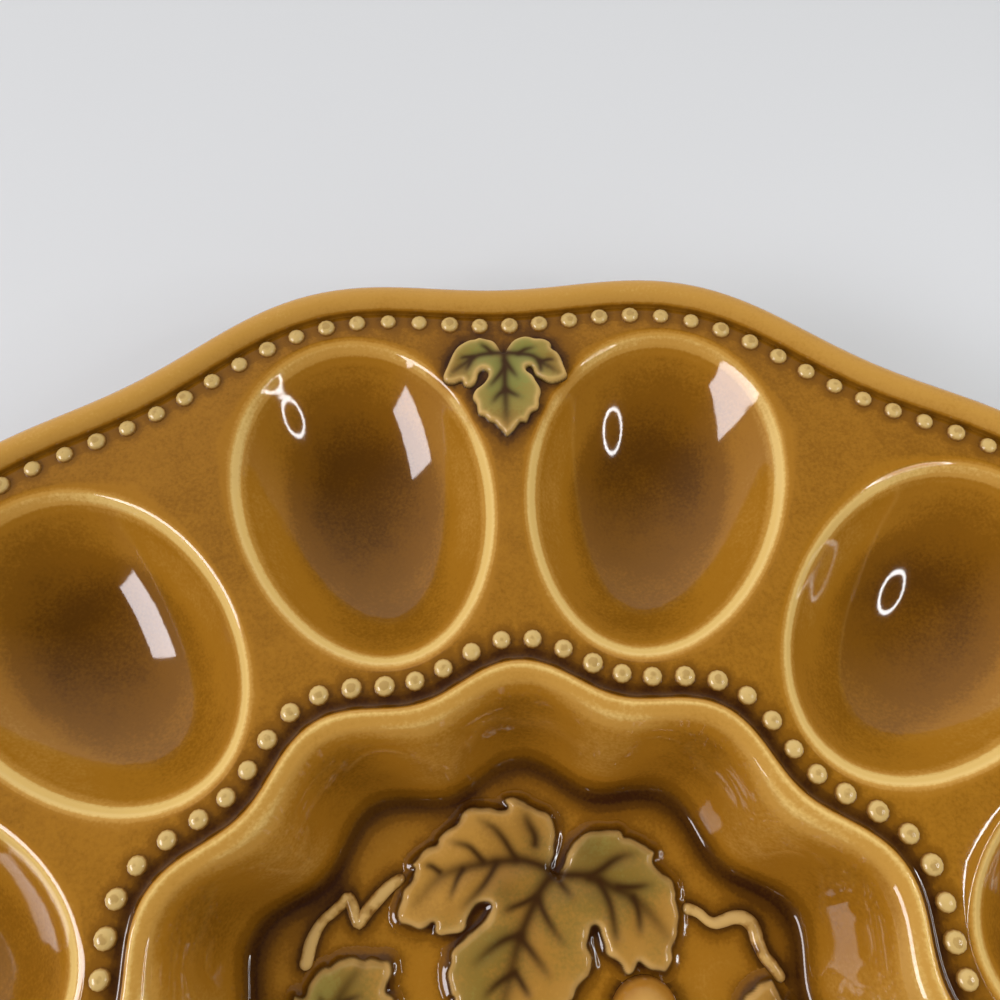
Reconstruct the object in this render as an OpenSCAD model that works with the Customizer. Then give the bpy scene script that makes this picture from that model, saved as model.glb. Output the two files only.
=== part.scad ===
// Deviled egg platter: a scalloped earthenware dish with a ring of egg wells around a deep centre well.
// Beads, vine leaves, grapes and tendrils are sprigs: small moulded reliefs, each stuck on a flat of it.
// Millimetres, +Z up. The origin is on the table, under the middle of the foot ring.
// Bearings are degrees clockwise from +Y, seen from above, and the back leaf of the rim lies on bearing 0.

/* [Egg wells] */
// Number of egg wells, and of lobes around the rim
well_count = 12; // [10:1:14]
// Length of one egg well on its lip, along the radius
well_len = 66; // [60:0.5:72]
// Width of one egg well on its lip
well_w = 47.5; // [42:0.5:54]
// Depth of one egg well below the flange
well_depth = 16; // [12:0.5:18]
// Flange left between two neighbouring wells at their widest
well_web = 7.9; // [7:0.1:12]
// How much the outward end of a well is broader than its inward end
well_taper = 0.07; // [0:0.01:0.12]
// Height over which the lip of a well is rounded
well_lip = 3; // [1:0.1:3.5]

/* [Flange and rim] */
// Thickness of the clay
wall = 5; // [3.5:0.1:7]
// Bare flange between the lip of a well and the middle of the outer bead row
outer_margin = 4.4; // [4.2:0.1:8]
// Distance from the outer bead row to the outer edge of the rim
rim_band = 8.3; // [8.1:0.1:12]
// How far the lobes of the rim stand out from its middle line
rim_wave = 2.6; // [0:0.1:4]
// Thickness of the rolled rim
roll_d = 6; // [4.5:0.1:6.2]
// Height of the rolled rim above the flange
roll_h = 2.9; // [2.2:0.1:3]

/* [Centre well] */
// Depth of the centre well below the flange
centre_depth = 21; // [18:0.5:28]
// Bare flange between the lip of a well and the middle of the inner bead row
inner_margin = 4.2; // [4:0.1:8]
// Distance from the inner bead row to the crest of the ridge
ridge_band = 5; // [4.6:0.1:8]
// Height of the ridge above the flange
ridge_h = 1.6; // [0.5:0.1:3]
// How far the sloping wall runs inward from the crest of the ridge to the floor
wall_run = 14.6; // [10:0.2:20]
// How far the lobes of the centre well stand out from its middle line
centre_wave = 2.3; // [0:0.1:3.5]

/* [Foot] */
// Height of the foot ring
foot_h = 3; // [2:0.1:6]
// Width of the foot ring
foot_w = 5.5; // [4:0.1:9]
// Flat base left outside the foot ring
foot_margin = 1.5; // [0.5:0.1:4]
// Rounding of the lower edges of the foot ring
foot_round = 1; // [0.4:0.1:1.6]

/* [Beads] */
// Diameter of a bead where it meets the flange
bead_d = 3.9; // [2.5:0.1:4.4]
// Height of a bead
bead_h = 1.3; // [1:0.1:1.9]
// Beads of the outer row for each lobe
outer_beads_per_lobe = 12; // [8:1:13]
// Beads of the inner row for each lobe
inner_beads_per_lobe = 7; // [5:1:8]

/* [Rim leaves] */
// Length of a rim leaf from its vein junction to its tip
rim_leaf_len = 18; // [14:0.5:19]
// Length of the two side lobes of a rim leaf
rim_leaf_side = 12.6; // [9:0.2:13]
// Bare flange between a rim leaf's vein junction and the edge of the beads behind it
rim_leaf_gap = 5; // [4.6:0.1:8]
// Thickness of a rim leaf
rim_leaf_h = 1.4; // [1:0.1:3]

/* [Centre spray] */
// Bare floor between the spray and the foot of the sloping wall
spray_gap = 0.4; // [0.2:0.1:4]
// Thickness of the leaves on the centre floor
vine_leaf_h = 2.6; // [1.5:0.1:4]
// Thickness of a tendril
tendril_h = 1.3; // [0.8:0.1:2.4]
// Width of a tendril
tendril_w = 2.4; // [1.6:0.1:4]
// Diameter of a grape where it meets the floor
grape_d = 12; // [9:0.1:12.2]
// Height of a grape
grape_h = 4.2; // [2.5:0.1:5]

/* [Leaf shape] */
// Width of a middle lobe on each side of its vein, as a share of its length
mid_lobe_w = 0.43; // [0.3:0.01:0.45]
// Width of a side lobe on its outer side, as a share of its length
side_lobe_out = 0.41; // [0.3:0.01:0.45]
// Width of a side lobe on its inner side, as a share of its length
side_lobe_in = 0.36; // [0.25:0.01:0.4]
// How far the vein of a side lobe bows outward, as a share of its length
side_lobe_bow = 0.15; // [0:0.01:0.2]
// Teeth along one side of a lobe
lobe_teeth = 5; // [3:1:7]
// Depth of a tooth, as a share of the lobe's width there
tooth_cut = 0.14; // [0:0.01:0.25]

/* [Hidden] */

glaze = [0.69, 0.45, 0.13];
bead_glaze = [0.85, 0.7, 0.42];
leaf_glaze = [0.55, 0.55, 0.3];
leaf_amber = [0.72, 0.51, 0.27];
tendril_glaze = [0.75, 0.59, 0.36];
bare_clay = [0.86, 0.8, 0.7];

// Heights
floor_z = foot_h + wall;
flange_z = floor_z + centre_depth;
under_z = flange_z - wall;

// Middle radii of the rings, before the scallops are added
sector = 360 / well_count;
well_ring_r = (well_w + well_web) / (2 * sin(sector / 2));
inner_bead_r = well_ring_r - well_len / 2 - inner_margin + centre_wave;
outer_bead_r = well_ring_r + well_len / 2 + outer_margin - rim_wave;
rim_r = outer_bead_r + rim_band;
ridge_r = inner_bead_r - ridge_band;
floor_r = ridge_r - wall_run;

// The flat seats of the two bead rows
seat_edge = 0.1;
bead_seat = bead_d / 2 + seat_edge;
inner_edge_r = inner_bead_r + bead_seat;
outer_edge_r = outer_bead_r - bead_seat;

// Steps along one side of a well's patch of flange, and around the whole dish
n_side = 7;
n_patch = 4 * n_side;
n_round = n_side * well_count;

function polar(r, bearing) = [r * sin(bearing), r * cos(bearing)];
function turned(p, a) = [p[0] * cos(a) - p[1] * sin(a), p[0] * sin(a) + p[1] * cos(a)];
function scallop(bearing) = cos(well_count * bearing);
function soft_min(p, q, k) = min(p, q) - pow(max(k - abs(p - q), 0), 2) / (4 * k);
function flat(lists) = [for (l = lists) each l];
function raised(p, z) = [p[0], p[1], z];

// Height of the sloping wall, from 0 on the floor to 1 on the crest, at a share x of its run
cove_power = 0.8;
function wall_rise(x) = pow(sin(90 * pow(x, cove_power)), 2);

// Depth of an egg well as a share of its full depth, at a share s of the way from its middle to its lip
bowl_power = 0.88;
function bowl(s) = sign(1 - s) * pow(abs(1 - s * s), bowl_power);
function egg(s, t, half_len, half_w) =
    [s * half_w * exp(well_taper * cos(t)) * sin(t), s * half_len * cos(t)];

// Rings of the dish, each [middle radius, scallop, height], from the floor over the rim to the base
wall_steps = [0, 0.12, 0.28, 0.5, 0.72, 0.9, 1];
crest_steps = [0.5, 1];
crest_w = ridge_band - bead_seat;
inner_rings = concat(
    [for (x = wall_steps)
        [floor_r + wall_run * x, centre_wave, floor_z + (centre_depth + ridge_h) * wall_rise(x)]],
    [for (x = crest_steps)
        [ridge_r + crest_w * x, centre_wave, flange_z + ridge_h * (1 - wall_rise(x))]],
    [[inner_edge_r, centre_wave, flange_z]]
);

roll_r = roll_d / 2;
roll_z = flange_z + roll_h - roll_r;
roll_foot = -asin((roll_h - roll_r) / roll_r);
roll_steps = 5;
under_run = 5;
under_steps = [0.4, 0.75];
outer_rings = concat(
    [[outer_edge_r, -rim_wave, flange_z]],
    [for (i = [0:roll_steps]) let (a = 180 - roll_foot - (180 - roll_foot) * i / roll_steps)
        [rim_r - roll_r + roll_r * cos(a), -rim_wave, roll_z + roll_r * sin(a)]],
    [for (x = under_steps)
        [rim_r - under_run * (1 - cos(90 * x)), -rim_wave, roll_z - (roll_z - under_z) * sin(90 * x)]],
    [[rim_r - under_run, -rim_wave, under_z]]
);

// Under the flange each well bulges down, clear of its neighbours and of the wall of the centre well
bulge_gap = 0.8;
side_wall = well_web / 2 - bulge_gap;
end_wall = 0.8 * wall;
base_r = floor_r + wall - centre_wave;
under_in_r = well_ring_r - well_len / 2 - end_wall - bulge_gap + centre_wave;
under_wall_steps = [1, 0.7, 0.35, 0];
under_rings = [for (x = under_wall_steps)
    [base_r + (under_in_r - base_r) * x, centre_wave * x, foot_h + (under_z - foot_h) * wall_rise(x)]];

rings = concat(inner_rings, outer_rings, under_rings);
top_in = len(inner_rings) - 1;
top_out = top_in + 1;
under_out = top_in + len(outer_rings);
under_in = under_out + 1;
base_ring = len(rings) - 1;

function ring_r(k, bearing) = rings[k][0] + rings[k][1] * scallop(bearing);
function ring_points(k) = [for (i = [0:n_round - 1]) let (b = 360 * i / n_round)
    raised(polar(ring_r(k, b), b), rings[k][2])];

// Radial lines between neighbouring patches of flange
function spoke_points(k_in, k_out) = [for (w = [0:well_count - 1]) for (j = [1:n_side - 1])
    let (b = sector * w, r_in = ring_r(k_in, b), r_out = ring_r(k_out, b))
    raised(polar(r_in + (r_out - r_in) * j / n_side, b), rings[k_in][2])];

// Edge of one patch as vertex numbers: out along a spoke, around, in along the next spoke and back
function around(i) = (i + n_round) % n_round;
function spoke_index(first, w, j) = first + (w % well_count) * (n_side - 1) + j - 1;
function patch_edge(w, k_in, k_out, first) = concat(
    [k_in * n_round + around(w * n_side)],
    [for (j = [1:n_side - 1]) spoke_index(first, w, j)],
    [for (i = [0:n_side]) k_out * n_round + around(w * n_side + i)],
    [for (j = [n_side - 1:-1:1]) spoke_index(first, w + 1, j)],
    [for (i = [n_side:-1:1]) k_in * n_round + around(w * n_side + i)]
);

// Rings of one egg well, on the rays from its middle to the edge of its patch
function egg_bearing(p, w, half_len, half_w) =
    let (q = turned([p[0], p[1]], sector * (w + 0.5)))
    atan2(q[0] / half_w, (q[1] - well_ring_r) / half_len);
function egg_rings(w, edge, half_len, half_w, levels, heights) = [
    for (q = [0:len(levels) - 1]) for (p = edge)
        let (t = egg_bearing(p, w, half_len, half_w), e = egg(levels[q], t, half_len, half_w))
        raised(turned([e[0], e[1] + well_ring_r], -sector * (w + 0.5)), heights[q])
];

top_levels = [1.05, 1, 0.96, 0.87, 0.7, 0.42];
top_heights = [for (s = top_levels) flange_z + soft_min(0, -well_depth * bowl(s), well_lip)];
under_levels = [1, 0.88, 0.55];
under_heights = [for (s = under_levels) under_z - well_depth * bowl(s)];

lathe_points = flat([for (k = [0:base_ring]) ring_points(k)]);
top_spokes = spoke_points(top_in, top_out);
under_spokes = spoke_points(under_in, under_out);
first_top = len(lathe_points);
first_under = first_top + len(top_spokes);
first_egg = first_under + len(under_spokes);
frame_points = concat(lathe_points, top_spokes, under_spokes);
top_edges = [for (w = [0:well_count - 1]) patch_edge(w, top_in, top_out, first_top)];
under_edges = [for (w = [0:well_count - 1]) patch_edge(w, under_in, under_out, first_under)];
function spots(edge) = [for (i = edge) frame_points[i]];
top_eggs = flat([for (w = [0:well_count - 1])
    egg_rings(w, spots(top_edges[w]), well_len / 2, well_w / 2, top_levels, top_heights)]);
under_eggs = flat([for (w = [0:well_count - 1])
    egg_rings(w, spots(under_edges[w]), well_len / 2 + end_wall, well_w / 2 + side_wall,
        under_levels, under_heights)]);
first_under_egg = first_egg + len(top_eggs);
first_middle = first_under_egg + len(under_eggs);
top_middles = [for (w = [0:well_count - 1])
    raised(polar(well_ring_r, sector * (w + 0.5)), flange_z - well_depth)];
under_middles = [for (w = [0:well_count - 1])
    raised(polar(well_ring_r, sector * (w + 0.5)), under_z - well_depth)];
first_under_middle = first_middle + well_count;
floor_middle = first_under_middle + well_count;
base_middle = floor_middle + 1;
body_points = concat(frame_points, top_eggs, under_eggs, top_middles, under_middles,
    [[0, 0, floor_z], [0, 0, foot_h]]);

// Two triangles for each step between two loops of vertices, and one to a middle point
function band(a, b) = [for (i = [0:len(a) - 1]) let (j = (i + 1) % len(a))
    each [[a[i], b[i], b[j]], [a[i], b[j], a[j]]]];
function fan(c, a) = [for (i = [0:len(a) - 1]) [c, a[i], a[(i + 1) % len(a)]]];
function backwards(faces) = [for (f = faces) [f[2], f[1], f[0]]];
function ring_loop(k) = [for (i = [0:n_round - 1]) k * n_round + i];
function egg_loop(first, w, levels, q) =
    [for (i = [0:n_patch - 1]) first + (w * len(levels) + q) * n_patch + i];
function well_faces(edge, first, w, levels, middle) = concat(
    band(egg_loop(first, w, levels, 0), edge),
    flat([for (q = [1:len(levels) - 1])
        band(egg_loop(first, w, levels, q), egg_loop(first, w, levels, q - 1))]),
    fan(middle, egg_loop(first, w, levels, len(levels) - 1))
);

lathe_faces = flat([for (k = [0:base_ring - 1]) if (k != top_in && k != under_out)
    band(ring_loop(k), ring_loop(k + 1))]);
top_faces = flat([for (w = [0:well_count - 1])
    well_faces(top_edges[w], first_egg, w, top_levels, first_middle + w)]);
under_faces = flat([for (w = [0:well_count - 1])
    backwards(well_faces(under_edges[w], first_under_egg, w, under_levels, first_under_middle + w))]);
end_faces = concat(fan(floor_middle, ring_loop(0)), backwards(fan(base_middle, ring_loop(base_ring))));
body_faces = concat(lathe_faces, top_faces, under_faces, end_faces);

module platter_body() {
    color(glaze) polyhedron(points = body_points, faces = body_faces);
}

// The ring that the dish stands on, seated on the flat of its base
module foot_ring() {
    outer_r = base_r - foot_margin;
    color(bare_clay) rotate_extrude($fn = 96) difference() {
        translate([outer_r - foot_w, 0]) square([foot_w, foot_h]);
        foot_corner(outer_r - foot_w, 1);
        foot_corner(outer_r, -1);
    }
}

// What is taken off one lower edge of the foot ring; side is 1 at its inner edge and -1 at its outer edge
module foot_corner(r, side) {
    difference() {
        translate([r - foot_round, -foot_round]) square(2 * foot_round);
        translate([r + side * foot_round, foot_round]) circle(r = foot_round, $fn = 32);
    }
}

// A cap of a sphere that stands on z = 0
module dome(base_d, h) {
    r = (base_d * base_d / 4 + h * h) / (2 * h);
    intersection() {
        translate([0, 0, h - r]) sphere(r = r, $fn = 48);
        cylinder(d = 2 * base_d, h = 2 * h, $fn = 48);
    }
}

module outer_beads() {
    count = outer_beads_per_lobe * well_count;
    color(bead_glaze) for (i = [0:count - 1]) {
        b = 360 * i / count;
        translate(raised(polar(outer_bead_r - rim_wave * scallop(b), b), flange_z)) dome(bead_d, bead_h);
    }
}

// A half step puts a pair of beads on each side of every lobe's middle
module inner_beads() {
    count = inner_beads_per_lobe * well_count;
    color(bead_glaze) for (i = [0:count - 1]) {
        b = 360 * (i + 0.5) / count;
        translate(raised(polar(inner_bead_r + centre_wave * scallop(b), b), flange_z)) dome(bead_d, bead_h);
    }
}

// Outline of one lobe along +Y: a bowed vein with a toothed edge on its left and right
lobe_full = 0.75;
mid_peak = 1.12;
out_peak = 0.7;
in_peak = 1.35;
tooth_marks = [0, 0.5, 0.92];
lobe_steps = flat([for (i = [0:lobe_teeth - 1]) [for (m = tooth_marks) (i + m) / lobe_teeth]]);
function tooth(t) = 1 - tooth_cut * (1 - (t * lobe_teeth - floor(t * lobe_teeth)));
function lobe_half(t, peak) = pow(sin(180 * pow(t, peak)), lobe_full) * tooth(t);
function lobe_vein(t, reach, bow) = [bow * reach * 4 * t * (1 - t), reach * t];
function lobe_edge(t, reach, bow, share, peak) =
    let (slope = bow * 4 * (1 - 2 * t), v = lobe_vein(t, reach, bow))
    v + share * reach * lobe_half(t, peak) * [1, -slope] / norm([1, slope]);
function lobe(reach, bow, left, left_peak, right, right_peak) = concat(
    [for (t = lobe_steps) lobe_edge(t, reach, bow, -left, left_peak)],
    [lobe_vein(1, reach, bow)],
    [for (i = [len(lobe_steps) - 1:-1:1]) lobe_edge(lobe_steps[i], reach, bow, right, right_peak)]
);

// The blade that joins the lobes, from a stub of the stalk out to the notches between them
blade_share = 0.4;
stub_share = 0.05;
blade_steps = 10;
function blade(r, stub, left_a, right_a) = concat([[0, -stub]],
    [for (i = [0:blade_steps]) turned([0, r], -right_a + (left_a + right_a) * i / blade_steps)]);

// A vine leaf with its vein junction at the origin and its tip along +Y: the outlines of its blade and lobes
function all_turned(points, a) = [for (p = points) turned(p, a)];
function leaf_shapes(tip_len, left_a, left_len, right_a, right_len) = [
    blade(blade_share * tip_len, stub_share * tip_len, left_a, right_a),
    lobe(tip_len, 0, mid_lobe_w, mid_peak, mid_lobe_w, mid_peak),
    all_turned(lobe(left_len, -side_lobe_bow, side_lobe_out, out_peak, side_lobe_in, in_peak), left_a),
    all_turned(lobe(right_len, side_lobe_bow, side_lobe_in, in_peak, side_lobe_out, out_peak), -right_a)
];
module leaf(shapes, h) {
    for (shape = shapes) linear_extrude(h) polygon(shape);
}

// Small leaves on the flange, between two wells, with their tips towards the middle of the dish
rim_leaf_count = 4;
rim_leaf_spread = 64;
rim_leaf_r = outer_bead_r - rim_wave - bead_d / 2 - rim_leaf_gap;
module rim_leaf(i) {
    b = sector * round(i * well_count / rim_leaf_count);
    shapes = leaf_shapes(rim_leaf_len, rim_leaf_spread, rim_leaf_side, rim_leaf_spread, rim_leaf_side);
    color(leaf_glaze) translate(raised(polar(rim_leaf_r, b), flange_z)) rotate(180 - b)
        leaf(shapes, rim_leaf_h);
}

// Leaves of the spray: [x, y, bearing of the tip, tip length, left spread, left length,
// right spread, right length]
vine_leaves = [
    [5.3, 35.4, 205, 31, 74, 24.5, 53, 28],
    [-31, 1.5, 100, 20.5, 86, 21.5, 78, 19],
    [37.3, -3, 256, 17, 70, 14, 112, 18.5],
    [23, -36, 345, 14, 68, 12, 68, 12],
    [-21.5, -37, 32, 14, 68, 11.5, 68, 11.5]
];
function vine_shapes(v) = [for (shape = leaf_shapes(v[3], v[4], v[5], v[6], v[7]))
    [for (p = shape) [v[0], v[1]] + turned(p, -v[2])]];
drawn_leaves = [for (v = vine_leaves) vine_shapes(v)];

// The spray is fitted to the floor that there is, from how far its leaves reach as drawn
drawn_reach = max([for (shapes = drawn_leaves) for (shape = shapes) for (p = shape) norm(p)]);
spray_k = (floor_r - centre_wave - spray_gap) / drawn_reach;
module vine_leaf(i) {
    color(i == 0 ? leaf_amber : leaf_glaze) translate([0, 0, floor_z])
        leaf(drawn_leaves[i] * spray_k, vine_leaf_h);
}

// Tendrils: points that each one bends at, from one leaf to the next
tendrils = [
    [[-25.5, 33], [-29.5, 28], [-31.5, 31.5], [-35, 29], [-38, 26], [-39.5, 22]],
    [[29, 28], [32.5, 25.5], [37.5, 26], [40.5, 24.5], [41.5, 20.5], [44.5, 17]],
    [[40.5, -19.5], [42, -23], [37.5, -22.5], [38.5, -27], [35, -31.5]],
    [[3.5, -41.5], [-0.5, -46], [-3, -42], [-7, -46], [-11, -44]]
];
tendril_end = 0.35;
function tendril_side(pts, i, side) =
    let (a = pts[max(i - 1, 0)], b = pts[min(i + 1, len(pts) - 1)], d = (b - a) / norm(b - a),
        share = (i == 0 || i == len(pts) - 1) ? tendril_end : 1)
    pts[i] + side * share * tendril_w / 2 * [-d[1], d[0]];
module tendril(i) {
    pts = tendrils[i] * spray_k;
    last = len(pts) - 1;
    color(tendril_glaze) translate([0, 0, floor_z]) linear_extrude(tendril_h)
        polygon(concat([for (j = [0:last]) tendril_side(pts, j, 1)],
            [for (j = [last:-1:0]) tendril_side(pts, j, -1)]));
}

// Grapes on a triangular grid: each row lists its grapes as steps across from the first grape
grape_start = [19.7, 12.3];
grape_step = [12.3, 2.2];
grape_rows = [[0], [0.5, 1.5], [1, 2, 3], [1.5, 2.5]];
module grape_bunch() {
    row_step = turned(-grape_step, 90) * sin(60);
    color(glaze) for (row = [0:len(grape_rows) - 1]) for (k = grape_rows[row]) {
        spot = grape_start - k * grape_step + row * row_step;
        translate(raised(spot * spray_k, floor_z)) dome(grape_d * spray_k, grape_h);
    }
}

platter_body();
foot_ring();
outer_beads();
inner_beads();
rim_leaf(0);  // rim_leaf_1
rim_leaf(1);  // rim_leaf_2
rim_leaf(2);  // rim_leaf_3
rim_leaf(3);  // rim_leaf_4
vine_leaf(0);  // vine_leaf_1
vine_leaf(1);  // vine_leaf_2
vine_leaf(2);  // vine_leaf_3
vine_leaf(3);  // vine_leaf_4
vine_leaf(4);  // vine_leaf_5
tendril(0);  // tendril_1
tendril(1);  // tendril_2
tendril(2);  // tendril_3
tendril(3);  // tendril_4
grape_bunch();
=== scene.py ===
import math

import bmesh
import bpy
import numpy as np
from mathutils import Matrix, Vector
from mathutils.bvhtree import BVHTree
from mathutils.kdtree import KDTree


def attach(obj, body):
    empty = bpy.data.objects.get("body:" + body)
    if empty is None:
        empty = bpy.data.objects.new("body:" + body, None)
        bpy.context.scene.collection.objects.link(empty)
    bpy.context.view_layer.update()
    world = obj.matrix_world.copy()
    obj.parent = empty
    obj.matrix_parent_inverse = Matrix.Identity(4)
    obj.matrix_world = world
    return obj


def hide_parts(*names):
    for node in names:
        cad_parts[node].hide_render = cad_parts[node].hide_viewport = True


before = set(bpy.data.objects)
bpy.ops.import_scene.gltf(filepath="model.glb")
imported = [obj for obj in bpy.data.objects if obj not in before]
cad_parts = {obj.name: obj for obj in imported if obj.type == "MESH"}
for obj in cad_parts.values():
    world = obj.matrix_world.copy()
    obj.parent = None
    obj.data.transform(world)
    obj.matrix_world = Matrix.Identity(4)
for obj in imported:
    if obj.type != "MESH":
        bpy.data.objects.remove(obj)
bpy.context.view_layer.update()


# The view. The dish is seen from above its back half, looking steeply down towards the back rim,
# through a short lens that is close enough to cut off the front of the dish.
def put(name, data):
    """A new object in the scene."""
    made = bpy.data.objects.new(name, data)
    bpy.context.collection.objects.link(made)
    return made


mm = 0.001
eye = Vector((-5.7, 38.7, 183.2)) * mm
aim = Vector((-2.0, 100.9, 29.0)) * mm
roll = math.radians(1.3)
camera = put("camera", bpy.data.cameras.new("camera"))
camera.data.lens = 31.73
camera.data.sensor_width = 36
camera.data.clip_start = 10 * mm
turn = (aim - eye).to_track_quat("-Z", "Y").to_matrix().to_4x4()
camera.matrix_world = Matrix.Translation(eye) @ turn @ Matrix.Rotation(roll, 4, "Z")
bpy.context.scene.camera = camera
bpy.context.scene.view_settings.view_transform = "Standard"


# The table and the light. The dish stands on a smooth pale table in soft daylight: a window on the left,
# a small ring lamp on the right, and light from all round that is brightest behind the dish.
def add(tree, kind, inputs=None, **settings):
    """A new node in a tree: its settings, then its inputs, each a number or another node's socket."""
    made = tree.nodes.new(kind)
    for key, value in settings.items():
        setattr(made, key, value)
    for key, value in (inputs or {}).items():
        if isinstance(value, bpy.types.NodeSocket):
            tree.links.new(value, made.inputs[key])
        else:
            made.inputs[key].default_value = value
    return made


def empty_material(name):
    """A material with only its output, a Principled shader and the coordinates that its patterns read."""
    material = bpy.data.materials.new(name)
    material.use_nodes = True
    tree = material.node_tree
    tree.nodes.clear()
    shader = add(tree, "ShaderNodeBsdfPrincipled")
    add(tree, "ShaderNodeOutputMaterial", {"Surface": shader.outputs[0]})
    return material, tree, shader, add(tree, "ShaderNodeTexCoord").outputs["Object"]


def blended(tree, factor, first, second):
    """Two colours mixed by a factor."""
    return add(tree, "ShaderNodeMix", {"Factor": factor, 6: first, 7: second}, data_type="RGBA").outputs[2]


def dress(tree, shader, colour, roughness, bump=None):
    """Gives a shader its colour, its roughness and, if it has one, its bump: strength, depth and height."""
    tree.links.new(colour, shader.inputs["Base Color"])
    shader.inputs["Roughness"].default_value = roughness
    if bump:
        uneven = add(tree, "ShaderNodeBump", dict(zip(("Strength", "Distance", "Height"), bump)))
        tree.links.new(uneven.outputs[0], shader.inputs["Normal"])


table_half = 3.0
table_tones = (0.715, 0.735, 0.755, 1), (0.745, 0.765, 0.785, 1)
table_mesh = bpy.data.meshes.new("table")
corners = [(-1, -1), (1, -1), (1, 1), (-1, 1)]
table_mesh.from_pydata([(x * table_half, y * table_half, 0) for x, y in corners], [], [(0, 1, 2, 3)])
table = put("table", table_mesh)
table_paint, tree, shader, place = empty_material("table_paint")
cloudy = add(tree, "ShaderNodeTexNoise", {"Vector": place, "Scale": 3.0, "Detail": 2.0}).outputs[0]
dress(tree, shader, blended(tree, cloudy, *table_tones), 0.55)
table_mesh.materials.append(table_paint)

window_way = Vector((-0.81, -0.2, 0.55))
window_far = 1.2
window_size = (0.69, 0.40)
window_radiance = 12.2
window_softness = 0.62
window_tint = (1.0, 0.96, 0.99)
for name, strength, mirrored in (("window_mirrored", 1.0, True), ("window_lighting", window_softness, False)):
    window_light = bpy.data.lights.new(name, "AREA")
    window_light.shape = "RECTANGLE"
    window_light.size, window_light.size_y = window_size
    window_light.energy = strength * window_radiance * math.pi * window_size[0] * window_size[1]
    window_light.color = window_tint
    window = put(name, window_light)
    window.matrix_world = (Matrix.Translation(window_way * window_far)
                           @ window_way.to_track_quat("Z", "Y").to_matrix().to_4x4())
    window.visible_camera = False
    window.visible_glossy = mirrored
    window.visible_diffuse = not mirrored


def circle(sides):
    """Points around a circle of radius 1."""
    return [(math.cos(math.tau * i / sides), math.sin(math.tau * i / sides)) for i in range(sides)]


def bands(sides, rings):
    """The faces between circles of points."""
    return [(k * sides + i, k * sides + j, (k + 1) * sides + j, (k + 1) * sides + i)
            for k in range(rings - 1) for i, j in zip(range(sides), [*range(1, sides), 0])]


ring_spot = Vector((271, -1, 267)) * mm
ring_aim = Vector((-10, 123, 20)) * mm
ring_way = (ring_spot - ring_aim).normalized()
ring_out, ring_in = 60 * mm, 49 * mm
ring_glow = 25
ring_sides = 48
ring_mesh = bpy.data.meshes.new("ring_lamp")
ring_turn = Matrix.Translation(ring_spot) @ ring_way.to_track_quat("Z", "Y").to_matrix().to_4x4()
ring_points = [ring_turn @ Vector((r * x, r * y, 0))
               for r in (ring_out, ring_in) for x, y in circle(ring_sides)]
ring_mesh.from_pydata(ring_points, [], bands(ring_sides, 2))
ring_lamp = put("ring_lamp", ring_mesh)
ring_light = bpy.data.materials.new("ring_light")
ring_light.use_nodes = True
ring_light.node_tree.nodes.clear()
glow = add(ring_light.node_tree, "ShaderNodeEmission", {"Strength": ring_glow})
add(ring_light.node_tree, "ShaderNodeOutputMaterial", {"Surface": glow.outputs[0]})
ring_mesh.materials.append(ring_light)
ring_lamp.visible_camera = False
ring_lamp.visible_shadow = False

world = bpy.data.worlds.new("room")
bpy.context.scene.world = world
world.use_nodes = True
tree = world.node_tree
tree.nodes.clear()
looking = add(tree, "ShaderNodeTexCoord").outputs["Generated"]
# The room as it lights the dish and as the dish mirrors it: its tint, the way to its bright side, and the
# strength that goes with a way that faces away from that side and with one that faces it
sides = [((0.99, 0.98, 0.97, 1), (-0.12, 0.87, -0.45), (-0.6, 0.46), (0.9, 1.44)),
         ((1.0, 0.94, 0.86, 1), (-0.4, 0.8, -0.45), (-0.5, 0.04), (0.85, 0.72))]
rooms = []
for tint, bright_way, (away, dim), (near, bright) in sides:
    facing = add(tree, "ShaderNodeVectorMath", {0: looking, 1: bright_way},
                 operation="DOT_PRODUCT").outputs["Value"]
    level = add(tree, "ShaderNodeMapRange", {0: facing, 1: away, 2: near, 3: dim, 4: bright}).outputs[0]
    rooms.append(add(tree, "ShaderNodeBackground", {"Color": tint, "Strength": level}).outputs[0])
room_seen = add(tree, "ShaderNodeBackground", {"Color": (0.80, 0.83, 0.86, 1), "Strength": 1.0})
path = add(tree, "ShaderNodeLightPath").outputs
lit = add(tree, "ShaderNodeMixShader", {0: path["Is Glossy Ray"], 1: rooms[0], 2: rooms[1]}).outputs[0]
shown = add(tree, "ShaderNodeMixShader", {0: path["Is Camera Ray"], 1: lit, 2: room_seen.outputs[0]})
add(tree, "ShaderNodeOutputWorld", {"Surface": shown.outputs[0]})


# The platter body. One slip-cast dish of earthenware under a clear amber glaze, which runs thin and pale
# over edges and pools dark in grooves. Its twelve lobes are one wedge repeated: each wedge is a net of
# rings with an egg-shaped patch, which the tree waves into scallops, presses into a well and repeats.
lobes = 12
sector = math.tau / lobes
well_len = 66 * mm
well_w = 47.5 * mm
well_depth = 16 * mm
well_taper = 0.07
well_lip = 4.8 * mm
bowl_power = 0.86
well_web = 7.9 * mm
well_ring_r = (well_w + well_web) / (2 * math.sin(sector / 2))
clay = 5 * mm
foot_h = 3 * mm
centre_depth = 21 * mm
floor_z = foot_h + clay
flange_z = floor_z + centre_depth
under_z = flange_z - clay
rim_wave = 2.6 * mm
centre_wave = 2.3 * mm
bead_d = 3.9 * mm
inner_gap, outer_gap = 4.2 * mm, 4.4 * mm
inner_bead_r = well_ring_r - well_len / 2 - inner_gap + centre_wave
outer_bead_r = well_ring_r + well_len / 2 + outer_gap - rim_wave
rim_w, ridge_w = 8.3 * mm, 5 * mm
rim_r = outer_bead_r + rim_w
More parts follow.
